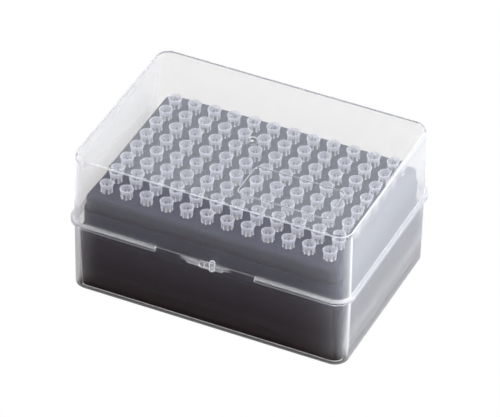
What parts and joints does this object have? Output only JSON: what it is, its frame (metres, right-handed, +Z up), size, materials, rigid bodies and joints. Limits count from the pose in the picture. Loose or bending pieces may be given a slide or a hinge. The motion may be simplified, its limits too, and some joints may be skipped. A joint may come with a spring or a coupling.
{
  "type": "box of pipette tips",
  "caption": "Hinged clear plastic box with a dark stepped rack that holds a grid of long ribbed pipette tips upright, mouths up.",
  "frame": {"origin": "middle of the underside, on the surface that the box stands on", "axes": "+X along the twelve columns of tips (the long side), +Y from the catch at the front to the hinge at the back, +Z up"},
  "size_m": [0.126, 0.0934, 0.0661],
  "materials": {
    "clear_box": "clear moulded polypropylene, glossy",
    "rack": "satin moulded polypropylene, dark blue-grey",
    "tips": "natural translucent polypropylene, glossy"
  },
  "bodies": {
    "base": {"base": "clear_box", "tip_rack": "rack", "tips_column_01": "tips", "tips_column_02": "tips", "tips_column_03": "tips", "tips_column_04": "tips", "tips_column_05": "tips", "tips_column_06": "tips", "tips_column_07": "tips", "tips_column_08": "tips", "tips_column_09": "tips", "tips_column_10": "tips", "tips_column_11": "tips", "tips_column_12": "tips"},
    "lid": {"lid": "clear_box"}
  },
  "joints": [
    {"name": "lid_hinge", "type": "hinge", "parent": "base", "child": "lid", "pos_m": [0, 0.0449, 0.0332], "axis": [-1, 0, 0], "range_deg": [0, 110]}
  ]
}
